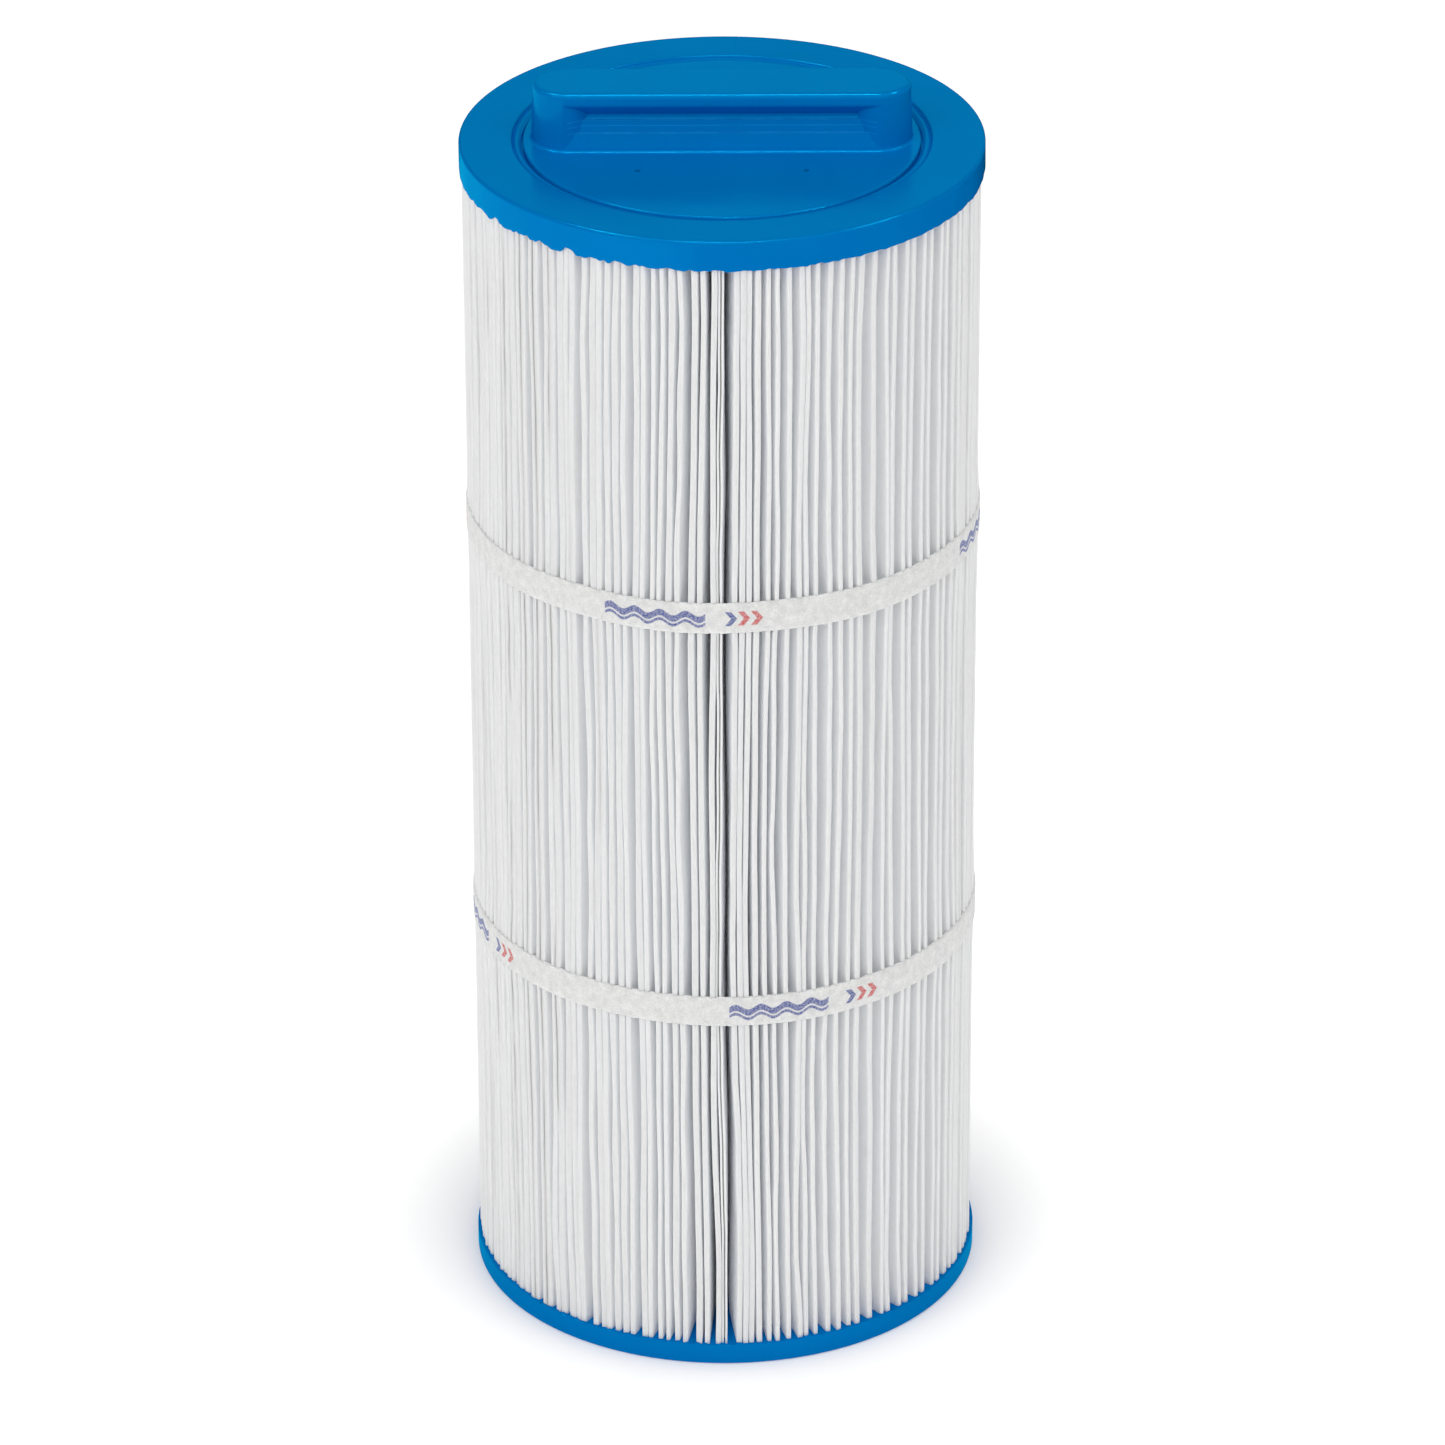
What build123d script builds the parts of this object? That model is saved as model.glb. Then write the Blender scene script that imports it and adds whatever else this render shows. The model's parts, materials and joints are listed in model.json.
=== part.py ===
from build123d import *

import os
from math import pi

# Spa filter cartridge: a pleated polyester pack on a perforated core, potted in two cast end
# caps. Millimetres. +Z runs up the cartridge, the origin is the centre of the bottom face, and
# the handle on the closed top end lies along X. The pleat where the folded sheet's two ends
# meet faces -Y.

# Overall
cap_radius = 67.5  # both end caps
body_height = 326.0  # bottom face to the top end cap's upper face

# Pleated media, one sheet folded around the core
pleat_count = 150
sheet_thickness = 0.5
media_radius = 66.9  # over the outer folds
tip_half_gap = 0.45  # from a pleat's middle to the middle of its sheet, at the outer fold
core_media_gap = 0.25  # between the core and the inner folds
seam_angle = -90.0  # the pleat where the sheet's two raw edges meet
raw_edge_inset = 0.3  # how far the raw edges stop short of the outer folds
seam_strip_depth = 26.0  # radial width of the strip that bonds the two end legs

# Core tube
core_inner_radius = 28.0
core_wall = 2.0
core_hole_radius = 5.0
core_holes_around = 10
core_hole_rows = 23
core_hole_pitch = 13.0

# Top end cap, cast round the edge of the handle plate
top_cap_depth = 7.6
groove_width = 2.7  # between the plate's raised disc and the cast ring
groove_depth = 2.1

# Handle plate
disc_radius = 51.0
disc_drop = 0.3  # the disc stands this much below the ring's face
flange_radius = 56.5  # the plate's edge, held under the ring
flange_thickness = 1.5
spigot_radius = 27.85  # centres the core
spigot_wall = 2.2
spigot_depth = 11.0

# Handle, measured from the disc
handle_height = 15.6
handle_length = 97.6  # at the foot
handle_width = 19.6  # at the foot
handle_draft = 2.0  # degrees
handle_top_fillet = 1.4
handle_foot_fillet = 0.8

# Finger recess, as (distance from the handle's middle plane, height) down one side
recess_outside = 14.0  # clear of the handle
recess_lip = (9.4, 12.4)
recess_waist = (5.5, 8.9)
recess_upper_ledge = (6.35, 7.8)
recess_lower_ledge = (7.8, 4.7)
recess_foot = (9.65, 0.9)
ledge_width = 0.6
lobe_x = 42.0  # centre of the round lobe that ends each recess
recess_lip_fillet = 1.2

# Marks that the moulds' support pins leave
pin_mark_radius = 0.8
pin_mark_depth = 1.0
disc_pin_spacing = (42.8, 43.4)
cap_pin_radius = 48.0
cap_pin_count = 6

# Bottom end cap
bottom_cap_depth = 6.2
bore_radius = 27.0  # 2 1/8 in slip-on bore
bore_lead_in = 1.0

# Shared by both end caps
potting_depth = 3.4  # how deep the sheet's edge is cast in
core_potting_depth = 2.6
edge_fillet = 0.9
inner_edge_fillet = 0.5

# Bands round the pleats
band_width = 8.4
band_thickness = 0.42
band_clearance = 0.1
band_lap = 24.0  # degrees over which the band's end is bonded on its start
band_lap_angle = 104.0  # where the lap starts
upper_band_z = 221.3
lower_band_z = 107.0

# Worked out from the above
core_outer_radius = core_inner_radius + core_wall
half_sheet = sheet_thickness / 2
pleat_angle = 360.0 / pleat_count
inner_fold_radius = core_outer_radius + core_media_gap
root_half_gap = pi / 2 * inner_fold_radius / pleat_count
root_radius = inner_fold_radius + root_half_gap + half_sheet
tip_radius = media_radius - tip_half_gap - half_sheet
tip_outer = tip_half_gap + half_sheet
tip_inner = tip_half_gap - half_sheet
root_outer = root_half_gap - half_sheet
root_inner = root_half_gap + half_sheet
raw_edge_radius = media_radius - raw_edge_inset
media_bottom = bottom_cap_depth - potting_depth
media_height = body_height - top_cap_depth + potting_depth - media_bottom
core_bottom = bottom_cap_depth - core_potting_depth
core_top = body_height - top_cap_depth + core_potting_depth
disc_z = body_height - disc_drop
flange_top = body_height - groove_depth
flange_bottom = flange_top - flange_thickness
ring_inner_radius = disc_radius + groove_width
top_cap_bottom = body_height - top_cap_depth


def spoke(radius, angle, side=0.0):
    """The point on the spoke at that angle from the seam, moved anticlockwise by side."""
    return Vector(radius, side).rotate(Axis.Z, seam_angle + angle)


def fold(radius, angle, side, outward):
    """A rounded fold across the spoke at that angle, from -side to +side."""
    apex = spoke(radius + outward * side, angle)
    return ThreePointArc(spoke(radius, angle, -side), apex, spoke(radius, angle, side))


def sheet_side(tip_side, root_side):
    """The edges of one side of the folded sheet, from its first raw edge round to its last."""
    edges = []
    here = spoke(raw_edge_radius, 0.0, tip_side)
    for pleat in range(pleat_count):
        root_angle = (pleat + 0.5) * pleat_angle
        tip_angle = (pleat + 1.0) * pleat_angle
        edges.append(Line(here, spoke(root_radius, root_angle, -root_side)))
        edges.append(fold(root_radius, root_angle, root_side, -1))
        here = spoke(root_radius, root_angle, root_side)
        if pleat < pleat_count - 1:
            edges.append(Line(here, spoke(tip_radius, tip_angle, -tip_side)))
            edges.append(fold(tip_radius, tip_angle, tip_side, 1))
            here = spoke(tip_radius, tip_angle, tip_side)
    edges.append(Line(here, spoke(raw_edge_radius, 0.0, -tip_side)))
    return edges


def raw_edge(hand):
    """The line across the sheet's thickness at one of its two raw edges; hand is 1 or -1."""
    outer = spoke(raw_edge_radius, 0.0, hand * tip_outer)
    inner = spoke(raw_edge_radius, 0.0, hand * tip_inner)
    return Line(outer, inner)


def end_leg(hand):
    """The inner side of one of the sheet's two end legs, from its raw edge inwards."""
    raw = spoke(raw_edge_radius, 0.0, hand * tip_inner)
    return Line(raw, spoke(root_radius, hand * pleat_angle / 2, -hand * root_inner))


# Pleated media. Its outline has 1200 edges, which BuildLine is slow to collect, so they are
# made outside it and joined in one go.
sheet_edges = sheet_side(tip_outer, root_outer) + sheet_side(tip_inner, root_inner)
sheet_edges += [raw_edge(1), raw_edge(-1)]
sheet_section = Face(Wire(sheet_edges))

with BuildPart() as pleated_media:
    with BuildSketch(Plane.XY.offset(media_bottom)):
        add(sheet_section)
    extrude(amount=media_height)

# Seam strip, between the sheet's two end legs
legs = [end_leg(1), end_leg(-1)]
leg_share = seam_strip_depth / legs[0].length

with BuildPart() as seam_strip:
    with BuildSketch(Plane.XY.offset(media_bottom)) as strip_section:
        with BuildLine():
            Polyline(legs[0] @ 0, legs[0] @ leg_share, legs[1] @ leg_share, legs[1] @ 0, close=True)
        make_face()
    extrude(amount=media_height)

# What the end caps are cast round: the sheet and its seam strip as one outline
potted_section = sheet_section.fuse(strip_section.sketch_local.face())

# Core tube, with staggered rows of round holes
core_height = core_top - core_bottom
half_step = 180.0 / core_holes_around

with BuildPart() as core_tube:
    with BuildSketch(Plane.XY.offset(core_bottom)):
        Circle(core_outer_radius)
        Circle(core_inner_radius, mode=Mode.SUBTRACT)
    extrude(amount=core_height)
    first_row = core_bottom + (core_height - core_hole_pitch * (core_hole_rows - 1)) / 2
    drills = []
    for row in range(core_hole_rows):
        for hole in range(core_holes_around):
            angle = (2 * hole + row % 2) * half_step
            spot = Location((0, 0, first_row + row * core_hole_pitch), (0, 0, angle))
            drills.append(spot * Location((core_inner_radius + core_wall / 2, 0, 0), (0, 90, 0)))
    with Locations(*drills):
        Cylinder(core_hole_radius, 3 * core_wall, mode=Mode.SUBTRACT)

# Finger recess: the space that both sides of the handle give up to the fingers
with BuildPart() as finger_recess:
    with BuildSketch(Plane.YZ):
        with BuildLine():
            lip_slope = (recess_lip[1] - recess_waist[1]) / (recess_lip[0] - recess_waist[0])
            Polyline(
                (recess_outside, recess_lip[1] + lip_slope * (recess_outside - recess_lip[0])),
                recess_waist,
                recess_upper_ledge,
                (recess_upper_ledge[0] + ledge_width, recess_upper_ledge[1]),
                recess_lower_ledge,
                (recess_lower_ledge[0] + ledge_width, recess_lower_ledge[1]),
                recess_foot,
                (recess_outside, recess_foot[1]),
                close=True,
            )
        make_face()
    extrude(amount=lobe_x, both=True)
    with BuildSketch():
        with Locations((lobe_x, 0), (-lobe_x, 0)):
            Circle(handle_width / 2)
    extrude(amount=handle_height + recess_outside, taper=handle_draft, mode=Mode.SUBTRACT)

# Handle plate: raised disc, hidden flange, core spigot and the handle, in one moulding
with BuildPart() as handle_plate:
    with BuildSketch(Plane.XY.offset(flange_bottom)):
        Circle(flange_radius)
    extrude(amount=flange_thickness)
    with BuildSketch(Plane.XY.offset(flange_top)):
        Circle(disc_radius)
    extrude(amount=disc_z - flange_top)
    fillet(handle_plate.edges().group_by(Axis.Z)[-1], inner_edge_fillet)
    with BuildSketch(Plane.XY.offset(disc_z)):
        SlotOverall(handle_length, handle_width)
    extrude(amount=handle_height, taper=handle_draft)
    fillet(handle_plate.edges().group_by(Axis.Z)[-1], handle_top_fillet)
    foot_edges = handle_plate.edges().filter_by_position(Axis.Z, disc_z, disc_z)
    fillet(foot_edges.filter_by(lambda edge: edge.length < handle_length), handle_foot_fillet)
    with Locations(Location((0, 0, disc_z)), Location((0, 0, disc_z), (0, 0, 180))):
        add(finger_recess.part, mode=Mode.SUBTRACT)
    lip_z = disc_z + recess_lip[1]
    lips = handle_plate.edges().filter_by(Axis.X).filter_by_position(Axis.Z, lip_z - 1, lip_z + 1)
    fillet(lips, recess_lip_fillet)
    with BuildSketch(Plane.XY.offset(flange_bottom)):
        Circle(spigot_radius)
        Circle(spigot_radius - spigot_wall, mode=Mode.SUBTRACT)
    extrude(amount=-spigot_depth)
    with Locations(Plane.XY.offset(disc_z)):
        with GridLocations(*disc_pin_spacing, 2, 2):
            Hole(pin_mark_radius, pin_mark_depth)

# Top end cap
with BuildPart() as top_end_cap:
    with BuildSketch(Plane.XY.offset(top_cap_bottom)):
        Circle(cap_radius)
    extrude(amount=top_cap_depth)
    fillet(top_end_cap.edges().group_by(Axis.Z)[-1], edge_fillet)
    with BuildSketch(Plane.XY.offset(flange_top)):
        Circle(ring_inner_radius)
    extrude(amount=top_cap_depth, mode=Mode.SUBTRACT)
    ring_edge = top_end_cap.edges().group_by(Axis.Z)[-1].sort_by(SortBy.LENGTH)[0]
    fillet(ring_edge, inner_edge_fillet)
    with BuildSketch(Plane.XY.offset(flange_bottom)):
        Circle(flange_radius)
    extrude(amount=flange_thickness, mode=Mode.SUBTRACT)
    with BuildSketch(Plane.XY.offset(top_cap_bottom)):
        Circle(spigot_radius)
    extrude(amount=flange_bottom - top_cap_bottom, mode=Mode.SUBTRACT)
    with BuildSketch(Plane.XY.offset(top_cap_bottom)):
        Circle(core_outer_radius)
    extrude(amount=core_potting_depth, mode=Mode.SUBTRACT)
    with BuildSketch(Plane.XY.offset(top_cap_bottom)):
        add(potted_section)
    extrude(amount=potting_depth, mode=Mode.SUBTRACT)

# Bottom end cap
with BuildPart() as bottom_end_cap:
    with BuildSketch():
        Circle(cap_radius)
        Circle(bore_radius, mode=Mode.SUBTRACT)
    extrude(amount=bottom_cap_depth)
    bottom_edges = bottom_end_cap.edges().group_by(Axis.Z)[0].sort_by(SortBy.LENGTH)
    fillet(bottom_edges[-1], edge_fillet)
    chamfer(bottom_edges[0], bore_lead_in)
    with Locations(Plane.XY.rotated((180, 0, 0))):
        with PolarLocations(cap_pin_radius, cap_pin_count):
            Hole(pin_mark_radius, pin_mark_depth)
    with BuildSketch(Plane.XY.offset(core_bottom)):
        Circle(core_outer_radius)
        Circle(core_inner_radius, mode=Mode.SUBTRACT)
    extrude(amount=bottom_cap_depth, mode=Mode.SUBTRACT)
    with BuildSketch(Plane.XY.offset(media_bottom)):
        add(potted_section)
    extrude(amount=potting_depth, mode=Mode.SUBTRACT)


def band(height):
    """A strap round the pleats, its end lapped over its start, centred at that height."""
    inner = media_radius + band_clearance
    outer = inner + band_thickness
    with BuildPart() as strap:
        with BuildSketch(Plane.XY.offset(height - band_width / 2)):
            Circle(outer)
            with BuildLine():
                lap_start = PolarLine((0, 0), outer + band_thickness, band_lap_angle)
                lap = CenterArc((0, 0), outer + band_thickness, band_lap_angle, band_lap)
                Line(lap @ 1, lap_start @ 0)
            make_face()
            Circle(inner, mode=Mode.SUBTRACT)
        extrude(amount=band_width)
    return strap


pieces = {
    "top_end_cap": top_end_cap,
    "handle_plate": handle_plate,
    "pleated_media": pleated_media,
    "seam_strip": seam_strip,
    "core_tube": core_tube,
    "upper_band": band(upper_band_z),
    "lower_band": band(lower_band_z),
    "bottom_end_cap": bottom_end_cap,
}

os.makedirs("parts", exist_ok=True)
for name, piece in pieces.items():
    piece.part.label = name
    export_step(piece.part, f"parts/{name}.step")
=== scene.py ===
import json
import math

import bpy
import numpy as np
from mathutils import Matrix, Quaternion, Vector


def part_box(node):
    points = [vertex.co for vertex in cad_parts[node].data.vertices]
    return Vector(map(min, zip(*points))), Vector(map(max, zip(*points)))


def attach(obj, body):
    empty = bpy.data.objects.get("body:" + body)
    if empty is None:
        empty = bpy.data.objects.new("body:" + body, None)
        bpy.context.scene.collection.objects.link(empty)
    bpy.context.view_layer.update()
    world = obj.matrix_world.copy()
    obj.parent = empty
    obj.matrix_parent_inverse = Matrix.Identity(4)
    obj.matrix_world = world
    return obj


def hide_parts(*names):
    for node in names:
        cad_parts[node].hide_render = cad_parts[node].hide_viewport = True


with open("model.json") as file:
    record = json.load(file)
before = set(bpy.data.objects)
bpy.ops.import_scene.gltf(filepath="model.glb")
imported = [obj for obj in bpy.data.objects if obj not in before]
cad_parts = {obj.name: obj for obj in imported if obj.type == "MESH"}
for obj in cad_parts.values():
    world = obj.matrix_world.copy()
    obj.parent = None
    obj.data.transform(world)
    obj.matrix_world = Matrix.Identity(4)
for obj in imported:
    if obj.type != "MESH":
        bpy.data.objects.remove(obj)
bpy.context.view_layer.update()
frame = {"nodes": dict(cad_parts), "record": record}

MM = 0.001
TURN = 2 * math.pi
FRONT = -math.pi / 2  # the direction that faces the camera, as an angle about Z

# ---------------------------------------------------------------- places taken from the frame

cap_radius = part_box("top_end_cap")[1].x
body_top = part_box("top_end_cap")[1].z
top_cap_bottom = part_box("top_end_cap")[0].z
bottom_cap_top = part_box("bottom_end_cap")[1].z
media_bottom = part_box("pleated_media")[0].z
media_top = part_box("pleated_media")[1].z
media_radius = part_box("pleated_media")[1].x
core_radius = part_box("core_tube")[1].x
plate_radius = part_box("handle_plate")[1].x
bands = {name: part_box(name) for name in ("upper_band", "lower_band")}
bore_radius = frame["record"]["mounts"][0]["dims"]["r_mm"] * MM

# ---------------------------------------------------------------- camera

CAMERA_DISTANCE = 2.2236  # from the middle of the body, fitted with the rest to the photo's outlines
CAMERA_ELEVATION = math.radians(26.93)
CAMERA_ROLL = math.radians(-0.183)
CAMERA_LENS = 209.3
CAMERA_SHIFT = (-0.00085, -0.0129)


def make_camera():
    data = bpy.data.cameras.new("camera")
    data.lens = CAMERA_LENS
    data.shift_x, data.shift_y = CAMERA_SHIFT
    camera = bpy.data.objects.new("camera", data)
    bpy.context.collection.objects.link(camera)
    back = Vector((0, -math.cos(CAMERA_ELEVATION), math.sin(CAMERA_ELEVATION)))
    camera.location = Vector((0, 0, body_top / 2)) + back * CAMERA_DISTANCE
    camera.rotation_mode = "QUATERNION"
    level = (-back).to_track_quat("-Z", "Y")
    camera.rotation_quaternion = level @ Quaternion((0, 0, 1), CAMERA_ROLL)
    bpy.context.scene.camera = camera


make_camera()

# ---------------------------------------------------------------- shader helpers


def new_material(name):
    material = bpy.data.materials.new(name)
    material.use_nodes = True
    tree = material.node_tree
    return material, tree, tree.nodes["Principled BSDF"]


def add_node(tree, kind, inputs=None, **settings):
    """A new node, its settings made and its inputs set to values or joined to other nodes' outputs."""
    made = tree.nodes.new(kind)
    for key, value in settings.items():
        setattr(made, key, value)
    for key, value in (inputs or {}).items():
        if isinstance(value, bpy.types.NodeSocket):
            tree.links.new(value, made.inputs[key])
        else:
            made.inputs[key].default_value = value
    return made


def calculate(tree, operation, *values, clamp=False):
    made = add_node(tree, "ShaderNodeMath", dict(enumerate(values)), operation=operation)
    made.use_clamp = clamp
    return made.outputs[0]


def noise(tree, vector, scale, detail=3.0, roughness=0.5, distortion=0.0):
    inputs = {
        "Vector": vector,
        "Scale": scale,
        "Detail": detail,
        "Roughness": roughness,
        "Distortion": distortion,
    }
    return add_node(tree, "ShaderNodeTexNoise", inputs).outputs["Fac"]


def spread(tree, value, low, high, to_low=0.0, to_high=1.0):
    """Stretches low..high to to_low..to_high, clamped at both ends."""
    inputs = {"Value": value, 1: low, 2: high, 3: to_low, 4: to_high}
    return add_node(tree, "ShaderNodeMapRange", inputs).outputs[0]


def between(tree, value, low, high, edge):
    """1 where low < value < high, with soft edges."""
    rise = spread(tree, value, low - edge, low + edge)
    fall = spread(tree, value, high - edge, high + edge, 1, 0)
    return calculate(tree, "MULTIPLY", rise, fall)


def mix_colours(tree, share, first, second):
    inputs = {"Factor": share, "A": first, "B": second}
    made = tree.nodes.new("ShaderNodeMix")
    made.data_type = "RGBA"
    for key, value in inputs.items():
        socket = next(s for s in made.inputs if s.name == key and s.enabled)
        if isinstance(value, bpy.types.NodeSocket):
            tree.links.new(value, socket)
        else:
            socket.default_value = value
    return next(s for s in made.outputs if s.enabled)


def bump(tree, height, depth, strength=1.0, below=None):
    inputs = {"Height": height, "Distance": depth, "Strength": strength}
    if below is not None:
        inputs["Normal"] = below
    return add_node(tree, "ShaderNodeBump", inputs).outputs["Normal"]


def object_place(tree):
    return add_node(tree, "ShaderNodeTexCoord").outputs["Object"]


def split_axes(tree, place):
    return add_node(tree, "ShaderNodeSeparateXYZ", {0: place}).outputs


def hypotenuse(tree, first, second):
    squares = [calculate(tree, "MULTIPLY", side, side) for side in (first, second)]
    return calculate(tree, "SQRT", calculate(tree, "ADD", *squares))


def ring_place(tree, along, across):
    """Coordinates that run round the Z axis: the angle times along, then the radius times across."""
    parts = split_axes(tree, object_place(tree))
    angle = calculate(tree, "ARCTAN2", parts["Y"], parts["X"])
    radius = hypotenuse(tree, parts["X"], parts["Y"])
    inputs = {
        "X": calculate(tree, "MULTIPLY", angle, along),
        "Y": calculate(tree, "MULTIPLY", radius, across),
        "Z": parts["Z"],
    }
    return add_node(tree, "ShaderNodeCombineXYZ", inputs).outputs[0]


# ---------------------------------------------------------------- materials

URETHANE_LIGHT = (0.0, 0.12, 0.455, 1)
URETHANE_DARK = (0.0, 0.11, 0.43, 1)
MOULDING_LIGHT = (0.0, 0.133, 0.47, 1)
MOULDING_DARK = (0.0, 0.123, 0.45, 1)
BLUE_GLOSS = (0.002, 0.43, 0.8, 1)
FABRIC_LIGHT = (0.968, 0.975, 0.984, 1)
FABRIC_DARK = (0.922, 0.935, 0.95, 1)
TAPE_LIGHT = (0.88, 0.88, 0.865, 1)
TAPE_DARK = (0.56, 0.565, 0.56, 1)
INK_BLUE = (0.06, 0.085, 0.3, 1)
INK_RED = (0.56, 0.07, 0.07, 1)
BOND_LIGHT = (0.78, 0.76, 0.7, 1)
BOND_DARK = (0.6, 0.58, 0.52, 1)
CORE_LIGHT = (0.8, 0.8, 0.79, 1)
CORE_DARK = (0.7, 0.7, 0.69, 1)


PIN_MARKS = (21.4 * MM, 21.7 * MM)  # the support pins' marks in the disc, one in each quarter
PIN_MARK_RADIUS = 0.8 * MM
# painted shade: the colour that darkens the pin marks' small hollows
PIN_MARK_PAINTED_SHADE = (0.0, 0.008, 0.04, 1)


def pin_painted_shade(tree, place):
    """1 inside the marks that the mould's support pins left in the disc, where shade is painted into the
    small hollows.
    """
    parts = split_axes(tree, place)
    sides = [calculate(tree, "ABSOLUTE", parts[key]) for key in "XY"]
    offsets = [calculate(tree, "SUBTRACT", side, mark) for side, mark in zip(sides, PIN_MARKS)]
    distance = hypotenuse(tree, *offsets)
    return spread(tree, distance, 0.8 * PIN_MARK_RADIUS, PIN_MARK_RADIUS, 1.0, 0.0)


# Heights above the cap's face of the painted highlight lines in the finger recesses. The first and the
# last run along steps of the CAD. The middle one is only a line of colour.
LEDGES = (4.4 * MM, 6.1 * MM, 7.5 * MM)
LEDGE_LINE = 0.1 * MM  # half the width of a painted highlight line
LEDGE_EDGE = 0.05 * MM
LEDGE_HALF_LENGTH = 39.5 * MM
# painted highlight: the colour of the lines where the recess steps catch the light
LEDGE_PAINTED_HIGHLIGHT = (0.004, 0.2, 0.6, 1)


def ledge_painted_highlight(tree, place):
    """Near 1 along the painted highlight lines that run across the finger recesses, broken up a little.
    """
    parts = split_axes(tree, place)
    line = 0.0
    for ledge in LEDGES:
        middle = body_top + ledge
        found = between(tree, parts["Z"], middle - LEDGE_LINE, middle + LEDGE_LINE, LEDGE_EDGE)
        line = calculate(tree, "ADD", line, found, clamp=True)
    side = calculate(tree, "ABSOLUTE", parts["X"])
    line = calculate(tree, "MULTIPLY", line, calculate(tree, "LESS_THAN", side, LEDGE_HALF_LENGTH))
    breaks = spread(tree, noise(tree, place, 160, 3), 0.35, 0.6, 0.35, 0.9)
    return calculate(tree, "MULTIPLY", line, breaks)


def blue_plastic(name, light, dark, roughness, handle=False):
    """Blue urethane or moulding: faint flow streaks round the part, fine orange peel, uneven gloss.

    With handle, it also has painted shade in the pin marks of the disc and painted highlight lines
    across the finger recesses.
    """
    material, tree, shader = new_material(name)
    place = object_place(tree)
    streaks = noise(tree, ring_place(tree, 6, 500), 1.0, 4, 0.6, 0.4)
    clouds = noise(tree, place, 38, 3, 0.55)
    tone = calculate(tree, "ADD", calculate(tree, "MULTIPLY", streaks, 0.4), clouds)
    colour = mix_colours(tree, spread(tree, tone, 0.45, 0.95), dark, light)
    if handle:
        # painted highlight lines across the finger recesses, then painted shade in the pin marks
        colour = mix_colours(tree, ledge_painted_highlight(tree, place), colour, LEDGE_PAINTED_HIGHLIGHT)
        colour = mix_colours(tree, pin_painted_shade(tree, place), colour, PIN_MARK_PAINTED_SHADE)
    tree.links.new(colour, shader.inputs["Base Color"])
    gloss = spread(tree, noise(tree, place, 90, 4), 0.3, 0.7, roughness - 0.05, roughness + 0.07)
    shader.inputs["Specular IOR Level"].default_value = 0.0
    waves = bump(tree, streaks, 0.00002, 0.3)
    peel = bump(tree, noise(tree, place, 260, 2), 0.00002, 0.3, waves)
    tree.links.new(peel, shader.inputs["Normal"])
    shine = {"Color": BLUE_GLOSS, "Roughness": gloss, "Normal": peel}
    shine = add_node(tree, "ShaderNodeBsdfGlossy", shine).outputs[0]
    share = add_node(tree, "ShaderNodeFresnel", {"IOR": 1.5, "Normal": peel}).outputs[0]
    # the pin marks also lose their gloss, as part of their painted shade
    if handle:
        clean = calculate(tree, "SUBTRACT", 1.0, pin_painted_shade(tree, place))
        share = calculate(tree, "MULTIPLY", share, clean)
    both = add_node(tree, "ShaderNodeMixShader", {0: share, 1: shader.outputs[0], 2: shine})
    tree.links.new(both.outputs[0], tree.nodes["Material Output"].inputs["Surface"])
    return material


def fibres(tree, place):
    """Heights of a spun-bonded mat: clumps a few millimetres across, crossed by finer strands."""
    clumps = noise(tree, place, 420, 3, 0.6)
    strands = noise(tree, place, 2600, 4, 0.7, 1.5)
    return clumps, strands


def fabric(name):
    """White spun-bonded polyester: cloudy, with fine strands standing out of it."""
    material, tree, shader = new_material(name)
    place = add_node(tree, "ShaderNodeUVMap", uv_map="cloth").outputs[0]
    clumps, strands = fibres(tree, place)
    tone = calculate(tree, "ADD", strands, calculate(tree, "MULTIPLY", clumps, 0.8))
    colour = mix_colours(tree, spread(tree, tone, 0.7, 1.0), FABRIC_DARK, FABRIC_LIGHT)
    tree.links.new(colour, shader.inputs["Base Color"])
    shader.inputs["Roughness"].default_value = 0.85
    shader.inputs["Specular IOR Level"].default_value = 0.15
    shader.inputs["Sheen Weight"].default_value = 0.12
    shader.inputs["Subsurface Weight"].default_value = 1.0
    shader.inputs["Subsurface Radius"].default_value = (1.0, 1.0, 1.0)
    shader.inputs["Subsurface Scale"].default_value = 0.002
    coarse = bump(tree, clumps, 0.00012, 0.35)
    tree.links.new(bump(tree, strands, 0.00006, 0.5, coarse), shader.inputs["Normal"])
    return material


PRINT_PERIOD = 108.8 * MM
PRINT_EDGE = 0.12 * MM  # how softly the ink ends
WAVE_LENGTH = 26.9 * MM
WAVE_PITCH = 6.725 * MM
WAVE_SWING = 0.75 * MM
THICK_WAVE = (-0.4 * MM, 1.45 * MM)  # its lower and upper edge, from the tape's middle
THIN_WAVE = (-1.75 * MM, -0.9 * MM)
ARROWS_START = 33.0 * MM
ARROWS_END = 43.0 * MM
ARROW_PITCH = 3.33 * MM
ARROW_STROKE = (0.5 * MM, 2.1 * MM)
ARROW_HALF_HEIGHT = 2.0 * MM
ARROW_LEAN = 0.8


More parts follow.
